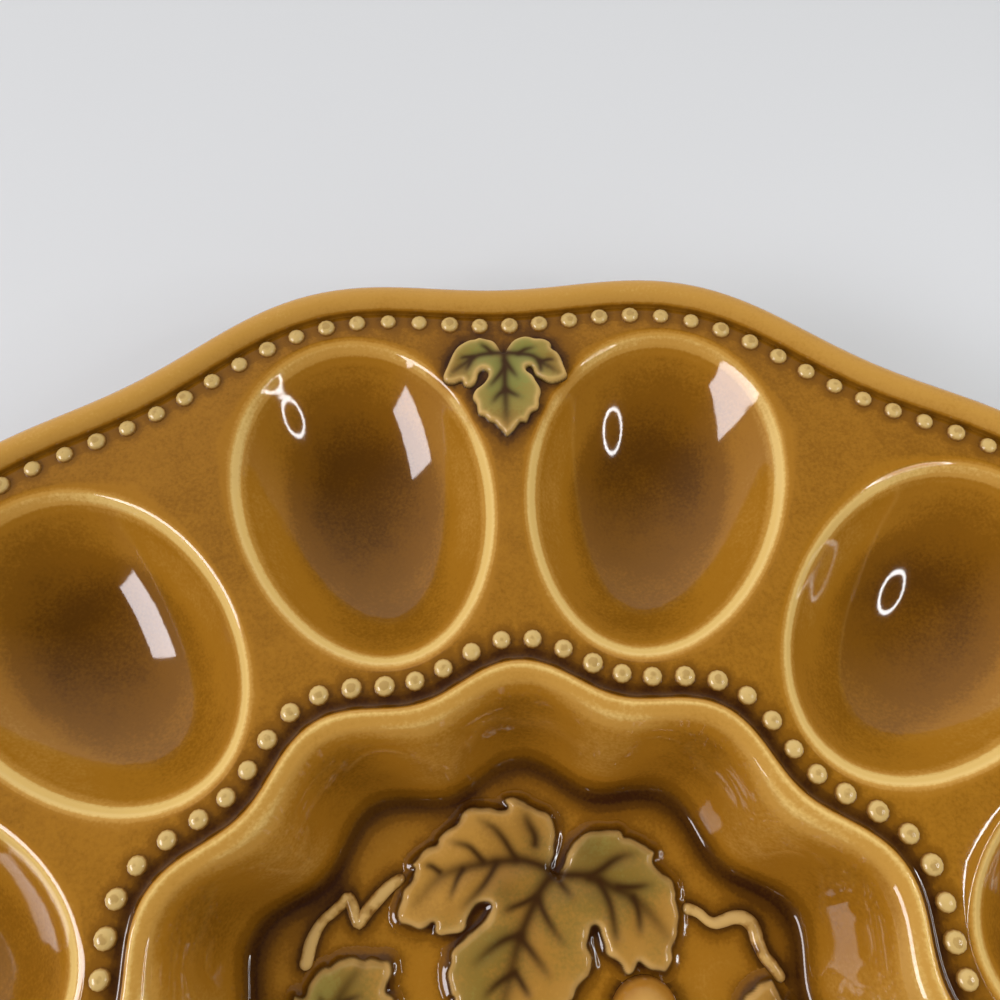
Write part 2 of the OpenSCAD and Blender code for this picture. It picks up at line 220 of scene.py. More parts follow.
ridge_r = inner_bead_r - ridge_w
wall_run = 14.6 * mm
floor_r = ridge_r - wall_run
bead_seat = bead_d / 2 + 0.1 * mm
inner_edge_r = inner_bead_r + bead_seat
outer_edge_r = outer_bead_r - bead_seat
roll_r = 3 * mm
roll_z = flange_z - 0.1 * mm
flange_scale = 100 * mm
columns = 30
bearings = np.linspace(0, sector, columns + 1)


def wall_rise(x):
    """Height of the sloping wall, from 0 on the floor to 1 on the crest, at a share x of its run."""
    return np.sin(np.pi / 2 * x ** 0.8) ** 2


def through(points, steps):
    """A smooth line through a few points, with some steps between each two."""
    p = np.array(points)
    p = np.vstack([2 * p[0] - p[1], p, 2 * p[-1] - p[-2]])
    t = np.arange(steps)[:, None] / steps
    parts = []
    for a, b, c, d in zip(p[:-3], p[1:-2], p[2:-1], p[3:]):
        parts.append(b + t / 2 * (c - a + t * (2 * a - 5 * b + 4 * c - d + t * (3 * (b - c) + d - a))))
    return np.vstack(parts + [p[-2:-1]])


# The profile: rings of (middle radius, scallop, height, place on the glaze's scale); crest and groove in mm
ring_radii = np.concatenate([[0], np.linspace(2 * mm, floor_r, 64)])
rings_in = [(r, centre_wave * (r / floor_r) ** 2, floor_z, r) for r in ring_radii]
crest_rise = 1.6 * mm
for x in np.linspace(0, 0.78, 15)[1:]:
    r = floor_r + wall_run * x
    rings_in.append((r, centre_wave, floor_z + (centre_depth + crest_rise) * wall_rise(x), r))
ridge_line = [(64.6, 29.75), (66.0, 30.35), (67.1, 30.6), (67.9, 30.2), (68.5, 29.2), (69.2, 28.88),
              (70.2, 28.93), (71.2, 29.0)]
for r, z in through(ridge_line, 3) * mm:
    rings_in.append((r, centre_wave, z, r))
for r in np.linspace(71.2 * mm, inner_edge_r, 4)[1:]:
    rings_in.append((r, centre_wave, flange_z, r))

rings_out = [(r, -rim_wave, flange_z, r) for r in np.linspace(outer_edge_r, outer_bead_r + 1.7 * mm, 5)]
rim_groove = [(143.8, 28.9), (144.05, 28.8)]
for r, z in rim_groove:
    rings_out.append((r * mm, -rim_wave, z * mm, r * mm))
roll_angles = np.radians([176, 168, 156, 142, 126, 110, 94, 76, 56, 36, 16, 0])
roll_scale = 144.1 * mm
for a in roll_angles:
    r = rim_r - roll_r + roll_r * math.cos(a)
    over = roll_scale + 2 * roll_r * (1 - a / roll_angles[0])
    rings_out.append((r, -rim_wave, roll_z + roll_r * math.sin(a), over))
under_run = 5 * mm
under_scale = 160 * mm
for x in np.linspace(0, np.pi / 2, 8)[1:]:
    r = rim_r - under_run * (1 - math.cos(x))
    rings_out.append((r, -rim_wave, roll_z - (roll_z - under_z) * math.sin(x), rim_r + x * 6 * mm))

end_wall = 0.8 * clay
bulge_gap = 0.8 * mm
side_wall = well_web / 2 - bulge_gap
base_r = floor_r + clay - centre_wave
under_in_r = well_ring_r - well_len / 2 - end_wall - bulge_gap + centre_wave
rings_under = []
for x in np.linspace(1, 0, 10):
    r = base_r + (under_in_r - base_r) * x
    rings_under.append((r, centre_wave * x, foot_h + (under_z - foot_h) * wall_rise(x), under_scale))
rings_under.append((0, 0, foot_h, under_scale))

# Each sheet of the net is a grid of points with seven numbers: x, y, height, scallop, share of a well,
# place on the glaze's scale, and the painted light and shade of the wells, added to that
no_well = 1.25


def lathe_sheet(rings):
    """The sheet that a list of rings makes across one wedge."""
    r, wave, level, scale = (np.array(column)[:, None] + 0 * bearings for column in zip(*rings))
    x, y = r * np.sin(bearings), r * np.cos(bearings)
    return np.stack([x, y, level, wave, 0 * r + no_well, scale, 0 * r], 2)


def patch_edge(inner, outer):
    """The edge of the patch between two rings: out along a spoke, around, in along the next and back."""
    inside, outside = lathe_sheet([inner])[0], lathe_sheet([outer])[0]
    steps = np.linspace(0, 1, columns + 1)[:, None]
    first = inside[0] + (outside[0] - inside[0]) * steps
    last = inside[-1] + (outside[-1] - inside[-1]) * steps
    return np.vstack([first[:-1], outside[:-1], last[:0:-1], inside[::-1]])


def hump(x, middle, breadth):
    """A bell curve, 1 in its middle."""
    return np.exp(-((x - middle) / breadth) ** 2)


def well_sheet(edge, half_len, half_w, leads, shares, height):
    """The sheet from a patch's edge to the middle of its egg, on rays that spread from that middle."""
    half = sector / 2
    across = edge[:, 0] * math.cos(half) - edge[:, 1] * math.sin(half)
    along = edge[:, 0] * math.sin(half) + edge[:, 1] * math.cos(half) - well_ring_r
    t = np.arctan2(across / half_w, along / half_len)
    rows = []
    # Painted light and shade on each well: its side walls are paler, most at one share of the well; its outer
    # end is darker at the lip and partway down, and its inner end a little paler partway down
    for s in shares:
        u = s * half_w * np.exp(well_taper * np.cos(t)) * np.sin(t)
        v = s * half_len * np.cos(t) + well_ring_r
        x, y = u * math.cos(half) + v * math.sin(half), v * math.cos(half) - u * math.sin(half)
        lit_side = 0.2 * np.sin(t) ** 2 * hump(s, 0.78, 0.17)
        shaded_end = (0.2 * np.clip(np.cos(t), 0, 1) ** 2 * hump(s, 0.985, 0.04)
                     + 0.1 * np.cos(t) * hump(s, 0.45, 0.25))
        row = [x, y, 0 * t + height(s), 0 * t, 0 * t + s, edge[:, 5], shaded_end - lit_side]
        rows.append(np.stack(row, 1))
    return np.array([edge + (rows[0] - edge) * f for f in leads] + rows)


top_leads = (0, 0.25, 0.5, 0.75)
top_shares = [1.05, 1.035, 1.02, 1.006, 0.993, 0.98, 0.966, 0.95, 0.93, 0.905, 0.875, 0.84, 0.8, 0.75,
              0.69, 0.62, 0.54, 0.45, 0.35, 0.24, 0.12, 0]
top_edge = patch_edge(rings_in[-1], rings_out[0])
top_edge[:, 5] = flange_scale
under_edge = patch_edge(rings_under[0], rings_out[-1])
under_edge[:, 5] = under_scale


def bulge(s):
    """Height of the underside of a well."""
    return under_z - well_depth * (1 - s * s) ** bowl_power


under_leads = (0, 0.5)
under_shares = [1, 0.97, 0.92, 0.84, 0.72, 0.55, 0.3, 0]
under_well = well_sheet(under_edge, well_len / 2 + end_wall, well_w / 2 + side_wall, under_leads,
                        under_shares, bulge)
under_well[:, :, 4] = no_well
under_well[:, :, 6] = 0
top_well = well_sheet(top_edge, well_len / 2, well_w / 2, top_leads, top_shares, lambda s: flange_z)
sheets = [lathe_sheet(rings_in), top_well, lathe_sheet(rings_out), under_well, lathe_sheet(rings_under)]


def give(mesh, name, values):
    """A named number for each point of a mesh."""
    mesh.attributes.new(name, "FLOAT", "POINT").data.foreach_set("value", values.astype(np.float32))


numbers, quads = [], []
for sheet in sheets:
    first = sum(len(n) for n in numbers)
    rows, across = sheet.shape[:2]
    numbers.append(sheet.reshape(-1, 7))
    at = first + np.arange(rows * across).reshape(rows, across)
    quads += np.stack([at[:-1, :-1], at[:-1, 1:], at[1:, 1:], at[1:, :-1]], 2).reshape(-1, 4).tolist()
numbers = np.vstack(numbers)
net = bpy.data.meshes.new("platter_body")
net.from_pydata(numbers[:, :3].tolist(), [], quads)
for name, column in (("wave", 3), ("share", 4), ("scale", 5), ("well_light_and_shade", 6)):
    give(net, name, numbers[:, column])
platter_body = put("platter_body_glazed", net)


def new_tree(name, sizes):
    """An empty Geometry Nodes tree with a geometry in and out, and named inputs for its sizes."""
    tree = bpy.data.node_groups.new(name, "GeometryNodeTree")
    tree.interface.new_socket("Geometry", in_out="INPUT", socket_type="NodeSocketGeometry")
    for size, value in sizes.items():
        kind = {int: "NodeSocketInt", float: "NodeSocketFloat"}.get(type(value), "NodeSocketMaterial")
        tree.interface.new_socket(size, in_out="INPUT", socket_type=kind)
    tree.interface.new_socket("Geometry", in_out="OUTPUT", socket_type="NodeSocketGeometry")
    return tree, add(tree, "NodeGroupInput").outputs


def calc(tree, operation, *values):
    """The result of one Math node."""
    return add(tree, "ShaderNodeMath", dict(enumerate(values)), operation=operation).outputs[0]


def shape_with(piece, tree, sizes):
    """Runs a tree on a piece with its sizes set, and leaves the piece as a plain mesh."""
    modifier = piece.modifiers.new(tree.name, "NODES")
    modifier.node_group = tree
    for item in tree.interface.items_tree:
        if item.in_out == "INPUT" and item.name in sizes:
            modifier[item.identifier] = sizes[item.name]
    depsgraph = bpy.context.evaluated_depsgraph_get()
    shaped = piece.evaluated_get(depsgraph)
    mesh = bpy.data.meshes.new_from_object(shaped, preserve_all_data_layers=True, depsgraph=depsgraph)
    piece.modifiers.clear()
    piece.data = mesh


def close_tree(tree, shape, glaze, weld=None):
    """Ends a tree: instances made real, doubles merged where a weld is given, smooth, and under a glaze."""
    shape = add(tree, "GeometryNodeRealizeInstances", {0: shape}).outputs[0]
    if weld:
        shape = add(tree, "GeometryNodeMergeByDistance", {"Geometry": shape, "Distance": weld}).outputs[0]
    shape = add(tree, "GeometryNodeSetShadeSmooth", {"Geometry": shape}).outputs[0]
    shape = add(tree, "GeometryNodeSetMaterial", {"Geometry": shape, "Material": glaze}).outputs[0]
    add(tree, "NodeGroupOutput", {0: shape})


amber_glaze, glaze_tree, glaze_shader, glaze_place = empty_material("amber_glaze")
wedge_sizes = {"Lobes": lobes, "Well depth": well_depth, "Lip": well_lip, "Bowl": bowl_power,
               "Glaze": amber_glaze}
tree, given = new_tree("scalloped_dish", wedge_sizes)
spot = add(tree, "GeometryNodeInputPosition").outputs[0]
flat_spot = add(tree, "ShaderNodeVectorMath", {0: spot, 1: (1, 1, 0)}, operation="MULTIPLY").outputs[0]
outward = add(tree, "ShaderNodeVectorMath", {0: flat_spot}, operation="NORMALIZE").outputs[0]
xyz = add(tree, "ShaderNodeSeparateXYZ", {0: spot}).outputs
bearing = calc(tree, "ARCTAN2", xyz[0], xyz[1])
swing = calc(tree, "COSINE", calc(tree, "MULTIPLY", bearing, given["Lobes"]))
wave, share = (add(tree, "GeometryNodeInputNamedAttribute", {"Name": name}, data_type="FLOAT").outputs[0]
               for name in ("wave", "share"))
room = calc(tree, "SUBTRACT", 1.0, calc(tree, "MULTIPLY", share, share))
bowl = calc(tree, "POWER", calc(tree, "ABSOLUTE", room), given["Bowl"])
hollow = calc(tree, "MULTIPLY", calc(tree, "SIGN", room), bowl)
sunk = calc(tree, "MULTIPLY", calc(tree, "MULTIPLY", hollow, given["Well depth"]), -1.0)
pressed = calc(tree, "SMOOTH_MIN", 0.0, sunk, given["Lip"])
scallop = calc(tree, "MULTIPLY", wave, swing)
sideways = add(tree, "ShaderNodeVectorMath", {0: outward, "Scale": scallop}, operation="SCALE").outputs[0]
downward = add(tree, "ShaderNodeCombineXYZ", {2: pressed}).outputs[0]
shift = add(tree, "ShaderNodeVectorMath", {0: sideways, 1: downward}, operation="ADD").outputs[0]
wedge = add(tree, "GeometryNodeSetPosition", {"Geometry": given["Geometry"], "Offset": shift}).outputs[0]
stations = add(tree, "GeometryNodePoints", {"Count": given["Lobes"]}).outputs[0]
step = calc(tree, "DIVIDE", math.tau, given["Lobes"])
angle = calc(tree, "MULTIPLY", add(tree, "GeometryNodeInputIndex").outputs[0], step)
turned = add(tree, "ShaderNodeCombineXYZ", {2: angle}).outputs[0]
copies = add(tree, "GeometryNodeInstanceOnPoints",
             {"Points": stations, "Instance": wedge, "Rotation": turned}).outputs[0]
close_tree(tree, copies, given["Glaze"], weld=0.008 * mm)
shape_with(platter_body, tree, wedge_sizes)


def close_below(mesh, skirt=0.0):
    """Fills the open side of a mesh, with its edge drawn down by a skirt, and turns every face outwards."""
    shell = bmesh.new()
    shell.from_mesh(mesh)
    rim = [e for e in shell.edges if e.is_boundary]
    for v in {v for e in rim for v in e.verts}:
        v.co.z -= skirt
    if rim:
        bmesh.ops.holes_fill(shell, edges=rim, sides=0)
    bmesh.ops.recalc_face_normals(shell, faces=shell.faces[:])
    shell.to_mesh(mesh)
    shell.free()


close_below(platter_body.data)
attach(platter_body, "root")
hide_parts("platter_body")


# The glaze of the body. How thick it lies is worked out from where a point is on the profile, how far in a
# well, and how near to a sprig or a bead; the thickness then gives the colour, from straw to dark brown.
# Some of that colour is painted light and shade: on the wells, on the lobes of the centre wall, and at the
# feet of the sprigs.
def ramp(tree, factor, stops):
    """A Color Ramp over (position, grey or colour) stops."""
    made = add(tree, "ShaderNodeValToRGB", {0: factor})
    made.color_ramp.interpolation = "EASE"
    points = made.color_ramp.elements
    while len(points) < len(stops):
        points.new(1.0)
    for point, (position, tone) in zip(points, stops):
        point.position = position
        point.color = (*tone, 1) if isinstance(tone, tuple) else (tone, tone, tone, 1)
    return made.outputs[0]


def attribute(tree, name):
    """The value of a named attribute of the mesh."""
    return add(tree, "ShaderNodeAttribute", attribute_name=name).outputs["Fac"]


def grain(tree, place, scale, detail=2.0):
    """A noise from -0.5 to 0.5."""
    noise = add(tree, "ShaderNodeTexNoise", {"Vector": place, "Scale": scale, "Detail": detail})
    return calc(tree, "SUBTRACT", noise.outputs[0], 0.5)


def weighted(tree, *terms):
    """The sum of (value, weight) terms."""
    total = 0.0
    for value, weight in terms:
        total = calc(tree, "MULTIPLY_ADD", value, weight, total)
    return total


# How thick the glaze lies along its scale, in mm, and at a share of a well; then its colour by thickness
glaze_span = 165.0
ring_stops = [
    (0, 0.36), (46, 0.35), (48.6, 0.41), (50.3, 0.60), (51.6, 0.81), (52.8, 0.79), (54.2, 0.55),
    (55.6, 0.39), (57.5, 0.42), (62.0, 0.42), (63.6, 0.28), (64.6, 0.15), (65.6, 0.21), (66.4, 0.16),
    (67.2, 0.03), (67.8, 0.24), (68.4, 0.80), (69.2, 0.92), (70.2, 0.84), (71.1, 0.64), (73.0, 0.54),
    (77.0, 0.50), (137, 0.50), (141.8, 0.55), (143.6, 0.58), (144.1, 0.88), (144.5, 0.50), (145.0, 0.24),
    (146.5, 0.20), (149.5, 0.25), (150.3, 0.20), (152, 0.40)]
well_stops = [
    (0, 0.71), (0.35, 0.69), (0.6, 0.62), (0.8, 0.55), (0.9, 0.49), (0.945, 0.35), (0.966, 0.1), (0.98, 0.0),
    (1.006, 0.0), (1.02, 0.1), (1.04, 0.31), (1.065, 0.43), (1.1, 0.5), (1.25, 0.5)]
amber_stops = [(0.0, (0.80, 0.55, 0.18)), (0.2, (0.55, 0.29, 0.055)), (0.42, (0.37, 0.160, 0.012)),
               (0.6, (0.22, 0.088, 0.005)), (0.8, (0.105, 0.039, 0.003)), (1.0, (0.042, 0.012, 0.002))]


def on_scale(tree, stops):
    """A Color Ramp over (place in mm on the glaze's scale, tone) stops."""
    return ramp(tree, calc(tree, "DIVIDE", attribute(tree, "scale"), glaze_span * mm),
                [(r / glaze_span, tone) for r, tone in stops])


# The clouds in the glaze: scale, detail and weight of each
glaze_clouds = [(28, 2.0, 0.15), (210, 2.0, 0.08), (1600, 3.0, 0.17)]


def poured(tree, place, *more):
    """The amber glaze's colour, from its place on the profile, the nearest sprig and more weighted terms."""
    clouds = [(grain(tree, place, scale, detail), weight) for scale, detail, weight in glaze_clouds]
    lie = [(on_scale(tree, ring_stops), 1.0), (attribute(tree, "pool_and_shade"), 1.0)]
    thickness = weighted(tree, *lie, *clouds, *more)
    return ramp(tree, thickness, amber_stops)


def bead_halo(tree, place, ring_r, wave, count, first_step):
    """How near a point is to the nearest bead of a row: 1 beside it, 0 a little further off."""
    x, y, z = add(tree, "ShaderNodeSeparateXYZ", {0: place}).outputs
    bearing = calc(tree, "ARCTAN2", x, y)
    swing = calc(tree, "COSINE", calc(tree, "MULTIPLY", bearing, lobes))
    middle = calc(tree, "MULTIPLY_ADD", swing, wave, ring_r)
    off = calc(tree, "SUBTRACT", calc(tree, "SQRT", weighted(tree, (x, x), (y, y))), middle)
    turns = calc(tree, "MULTIPLY_ADD", bearing, count / math.tau, 0.5 - first_step)
    part = calc(tree, "SUBTRACT", calc(tree, "FRACT", turns), 0.5)
    along = calc(tree, "MULTIPLY", part, math.tau * ring_r / count)
    drop = calc(tree, "SUBTRACT", z, flange_z)
    gap = calc(tree, "SQRT", weighted(tree, (off, off), (along, along), (drop, drop)))
    halo_in, halo_out = bead_d * 0.42, bead_d * 0.95
    return add(tree, "ShaderNodeMapRange", {0: gap, 1: halo_in, 2: halo_out, 3: 1.0, 4: 0.0},
               interpolation_type="SMOOTHSTEP").outputs[0]


# The two rows of beads: middle radius, scallop, number, and the share of a step before the first
outer_row = (outer_bead_r, -rim_wave, 12 * lobes, 0.23)
inner_row = (inner_bead_r, centre_wave, 7 * lobes, 0.5)
tree, place = glaze_tree, glaze_place
by_well = ramp(tree, calc(tree, "DIVIDE", attribute(tree, "share"), no_well),
               [(s / no_well, tone) for s, tone in well_stops])
outer_halo, inner_halo = bead_halo(tree, place, *outer_row), bead_halo(tree, place, *inner_row)
x, y, z = add(tree, "ShaderNodeSeparateXYZ", {0: place}).outputs
scallop = calc(tree, "COSINE", calc(tree, "MULTIPLY", calc(tree, "ARCTAN2", x, y), lobes))
# Painted shade on the centre wall: darker in the bays of its scallops and paler on its bulges
wall_stops = [(53, 0.0), (57, 1.0), (64, 1.0), (67, 0.0)]
lobe_shade = calc(tree, "MULTIPLY", scallop, on_scale(tree, wall_stops))
band_stops = [(46.5, 0.0), (50, 1.0), (54, 1.0), (57, 0.0)]
uneven_band = calc(tree, "MULTIPLY", grain(tree, place, 22), on_scale(tree, band_stops))
# The wells' painted light and shade and the centre wall's painted shade join the glaze's colour here
amber = poured(tree, place, (calc(tree, "SUBTRACT", by_well, 0.5), 1.0), (attribute(tree, "well_light_and_shade"), 1.0),
               (outer_halo, 0.1), (inner_halo, 0.1), (lobe_shade, 0.1), (uneven_band, 0.9))
dress(tree, glaze_shader, amber, 0.06, (0.12, 0.2 * mm, grain(tree, place, 160, 3.0)))
glaze_shader.inputs["IOR"].default_value = 1.5


# The foot ring. The dish stands on a low ring of the same clay, wiped clean of glaze before the firing,
# so it stays bare, matt and buff, with a little sand in it.
bare_clay, tree, shader, place = empty_material("bare_clay")
sandy = weighted(tree, (grain(tree, place, 60), 0.5), (grain(tree, place, 900), 0.6), (1.0, 0.5))
clay_stops = [(0.2, (0.50, 0.38, 0.24)), (0.5, (0.66, 0.54, 0.38)), (0.85, (0.76, 0.66, 0.50))]
dress(tree, shader, ramp(tree, sandy, clay_stops), 0.85, (0.4, 0.1 * mm, grain(tree, place, 1400)))
foot_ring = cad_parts["foot_ring"]
foot_ring.data.materials.clear()
foot_ring.data.materials.append(bare_clay)


# The beads. Small drops of slip set in two rows, round the rim and round the centre well. The glaze runs
# off them, so they are pale on top and dark where they meet the flange.
def height_share(tree, place, base, height):
    """How high a point lies over a base, as a share of a height."""
    lift = calc(tree, "SUBTRACT", add(tree, "ShaderNodeSeparateXYZ", {0: place}).outputs[2], base)
    return calc(tree, "DIVIDE", lift, height)


bead_glaze, tree, shader, place = empty_material("bead_glaze")
bead_h = 1.17 * mm
rise = weighted(tree, (height_share(tree, place, flange_z, bead_h), 1.0), (grain(tree, place, 700), 0.3))
bead_stops = [(0.0, (0.16, 0.065, 0.008)), (0.22, (0.25, 0.11, 0.018)), (0.45, (0.52, 0.32, 0.095)),
              (0.65, (0.66, 0.46, 0.165)), (0.9, (0.64, 0.44, 0.155)), (1.0, (0.47, 0.30, 0.095))]
dress(tree, shader, ramp(tree, rise, bead_stops), 0.16)

bead_sides = 12
bead_line = [(1.92, -0.2), (1.8, 0.1), (1.58, 0.52), (1.22, 0.87), (0.7, 1.09)]
drop_points = [(r * mm * x, r * mm * y, z * mm) for r, z in bead_line for x, y in circle(bead_sides)]
drop_faces = bands(bead_sides, len(bead_line))
top = len(drop_points)
drop_points += [(0, 0, bead_h), (0, 0, bead_line[0][1] * mm)]
last_ring = top - bead_sides
drop_faces += [(last_ring + i, last_ring + (i + 1) % bead_sides, top) for i in range(bead_sides)]
drop_faces += [((i + 1) % bead_sides, i, top + 1) for i in range(bead_sides)]

row_sizes = {"Count": 12, "First step": 0.5, "Radius": inner_bead_r, "Wave": centre_wave, "Lobes": lobes,
             "Height": flange_z, "Spread": 0.06, "Seed": 3, "Glaze": bead_glaze}
tree, given = new_tree("bead_row", row_sizes)
order = calc(tree, "ADD", add(tree, "GeometryNodeInputIndex").outputs[0], given["First step"])
bearing = calc(tree, "MULTIPLY", order, calc(tree, "DIVIDE", math.tau, given["Count"]))
swing = calc(tree, "COSINE", calc(tree, "MULTIPLY", bearing, given["Lobes"]))
radius = calc(tree, "MULTIPLY_ADD", given["Wave"], swing, given["Radius"])
spot = add(tree, "ShaderNodeCombineXYZ", {0: calc(tree, "MULTIPLY", radius, calc(tree, "SINE", bearing)),
                                          1: calc(tree, "MULTIPLY", radius, calc(tree, "COSINE", bearing)),
                                          2: given["Height"]}).outputs[0]
row = add(tree, "GeometryNodePoints", {"Count": given["Count"], "Position": spot}).outputs[0]
least, most = calc(tree, "SUBTRACT", 1.0, given["Spread"]), calc(tree, "ADD", 1.0, given["Spread"])
plump = add(tree, "FunctionNodeRandomValue", {2: least, 3: most, "Seed": given["Seed"]}, data_type="FLOAT")
set_down = add(tree, "GeometryNodeInstanceOnPoints",
               {"Points": row, "Instance": given["Geometry"], "Scale": plump.outputs[1]}).outputs[0]
close_tree(tree, set_down, given["Glaze"])
bead_tree = tree


def bead_row(name, radius, wave, count, first_step, seed):
    """One row of beads on its scalloped ring."""
    mesh = bpy.data.meshes.new(name)
    mesh.from_pydata(drop_points, [], drop_faces)
    row = put(f"{name}_glazed", mesh)
    sizes = {"Count": count, "First step": first_step, "Radius": radius, "Wave": wave, "Seed": seed}
    shape_with(row, bead_tree, {**row_sizes, **sizes})
    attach(row, "root")
    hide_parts(name)


bead_row("outer_beads", *outer_row, seed=3)
bead_row("inner_beads", *inner_row, seed=8)


# The leaves. Vine leaves pressed in a mould and stuck on with slip: wavy lobes with deep round notches
# between them, puffed up between the veins. They are painted olive, green and tan under the glaze, which
# lies dark in the veins and pale on the edges. Each is a fine sheet, lifted by how far a point is from the
# outline and the veins.

# The large leaf around its stalk, with the tip towards +Y: its outline from the stalk, in tenths of a mm
leaf_edge = [
    (4, -2), (8, -20), (12, -40), (16, -58), (25, -75), (37, -87), (51, -92), (65, -91), (82, -92),
    (93, -95), (104, -94), (116, -90), (126, -83), (122, -76), (119, -70), (132, -64), (149, -59),
    (168, -52), (181, -44), (189, -34), (193, -22), (197, -9), (203, 4), (210, 17), (215, 27), (214, 36),
    (221, 45), (229, 56), (237, 69), (241, 79), (241, 88), (231, 91), (232, 104), (234, 118), (235, 131),
    (233, 145), (232, 158), (230, 173), (221, 180), (209, 181), (196, 180), (183, 177), (172, 170),
    (164, 161), (158, 167), (150, 171), (138, 168), (125, 161), (115, 152), (111, 143), (111, 131),
    (110, 118), (106, 105), (99, 95), (90, 92), (82, 96), (79, 104), (80, 114), (85, 128), (93, 141),
    (102, 152), (107, 164), (112, 177), (115, 189), (114, 202), (112, 218), (104, 234), (91, 249),
    (82, 252), (76, 266), (65, 280), (53, 286), (46, 293), (34, 306), (19, 316), (3, 322), (-13, 313),
    (-27, 300), (-37, 286), (-44, 273), (-54, 269), (-66, 256), (-75, 242), (-78, 229), (-88, 225),
    (-98, 213), (-103, 198), (-102, 186), (-108, 176), (-108, 163), (-111, 150), (-114, 139), (-120, 128),
    (-122, 117), (-118, 108), (-111, 98), (-103, 88), (-97, 77), (-95, 68), (-98, 58), (-104, 53),
    (-114, 54), (-121, 62), (-126, 72), (-135, 81), (-145, 86), (-156, 90), (-166, 94), (-174, 98),
    (-183, 99), (-190, 94), (-193, 86), (-195, 77), (-205, 77), (-218, 79), (-230, 78), (-242, 74),
    (-246, 65), (-245, 53), (-242, 40), (-242, 27), (-242, 13), (-241, 0), (-239, -14), (-235, -27),
    (-228, -37), (-221, -45), (-220, -54), (-215, -62), (-205, -70), (-193, -75), (-178, -81), (-164, -85),
    (-160, -93), (-162, -103), (-159, -107), (-149, -107), (-139, -109), (-125, -111), (-112, -110),
    (-100, -108), (-94, -114), (-85, -116), (-73, -109), (-58, -104), (-44, -97), (-32, -86), (-24, -74),
    (-18, -62), (-16, -50), (-15, -36), (-15, -23), (-14, -10), (-12, -1)]
# Its veins, each with its half width in mm and its line in tenths of a mm: first the lobes' main veins
leaf_veins = [
    (1.16, [(-4, 1), (-24, -6), (-48, -16), (-69, -20), (-110, -20), (-149, -18), (-191, -2), (-230, 20)]),
    (1.22, [(-3, 0), (4, 17), (9, 36), (11, 58), (14, 102), (13, 134), (9, 170), (3, 220), (0, 280)]),
    (1.16, [(0, 0), (19, -3), (45, -1), (69, 6), (112, 29), (153, 56), (185, 86), (209, 144)]),
    (0.82, [(70, 4), (88, -8), (105, -19), (128, -29), (157, -32)]),
    (0.75, [(124, 31), (144, 22), (162, 18), (191, 24)]), (0.68, [(189, 78), (206, 75), (218, 78)]),
    (0.82, [(100, 26), (103, 49), (110, 76), (127, 115)]), (0.68, [(152, 58), (155, 76), (154, 110)]),
    (0.75, [(14, 50), (30, 67), (47, 83), (56, 94)]), (0.88, [(15, 117), (35, 132), (52, 153), (72, 188)]),
    (0.82, [(6, 52), (-11, 68), (-30, 82), (-59, 99)]), (0.88, [(14, 121), (-9, 132), (-55, 156)]),
    (0.75, [(4, 178), (23, 203), (36, 230)]), (0.75, [(0, 176), (-20, 189), (-38, 201)]),
    (0.95, [(-65, -20), (-80, -40), (-93, -60), (-108, -76), (-127, -88)]),
    (0.75, [(-118, -24), (-138, -32), (-155, -41), (-170, -50)]),
    (0.88, [(-83, -20), (-103, -3), (-117, 12), (-137, 45), (-145, 62)]),
    (0.75, [(-149, -18), (-163, -3), (-172, 14), (-179, 32)]), (0.82, [(-15, 5), (-23, 12), (-49, 24)]),
    (1.06, [(47, -33), (54, -47), (73, -62), (87, -77)])]
# Soft hollows, painted dark inside as painted shade: a spot in mm, its reach and its depth
leaf_shaded_hollows = [(6.5, 6.0, 2.8, 0.3), (-4.5, -6.6, 3.2, 0.28)]
# How the paint runs: a spot in mm, and its tint from green through olive and brown to tan
leaf_tints = [(18, 9, 0.95), (19, 0, 0.9), (9, -6, 0.75), (8, 4, 0.55), (1, 4, 0.35), (5, 14, 0.2),
              (-5, 13, 0.6), (-4, 20, 0.75), (4, 22, 0.3), (0, 29, 0.5), (-8, -7, 0.26), (-8, 2, 0.36),
              (-16, -4, 0.32), (-20, 3, 0.6), (-17, 8, 0.75)]
# Its left, middle and right lobe: bearing from the tip in degrees and reach in mm
leaf_lobes = [(-75, 25.4), (0, 32.2), (53, 28.8)]
# The small leaf of the rim, drawn in the same way, its outline in hundredths of a mm
rim_leaf_edge = [
    (16, -33), (54, -74), (96, -157), (161, -235), (252, -311), (364, -361), (491, -392), (583, -348),
    (691, -332), (812, -277), (915, -194), (994, -105), (1052, -3), (1102, 119), (1155, 247), (1198, 358),
    (1228, 495), (1200, 613), (1106, 664), (981, 652), (860, 615), (824, 699), (719, 756), (621, 696),
    (562, 581), (516, 445), (435, 368), (341, 409), (333, 506), (404, 612), (510, 722), (596, 801),
    (646, 907), (644, 1026), (597, 1136), (579, 1261), (544, 1364), (436, 1411), (357, 1505), (236, 1558),
    (184, 1643), (107, 1745), (12, 1850), (-75, 1764), (-178, 1655), (-275, 1558), (-374, 1549),
    (-433, 1465), (-493, 1359), (-612, 1302), (-646, 1194), (-653, 1070), (-694, 930), (-683, 772),
    (-634, 659), (-543, 522), (-459, 423), (-441, 339), (-520, 323), (-576, 427), (-640, 548), (-733, 631),
    (-842, 679), (-981, 684), (-1123, 651), (-1229, 558), (-1227, 424), (-1181, 277), (-1143, 130),
    (-1079, 13), (-978, -88), (-965, -198), (-871, -287), (-759, -330), (-631, -334), (-534, -371),
    (-406, -388), (-276, -346), (-158, -264), (-69, -152), (-28, -55)]
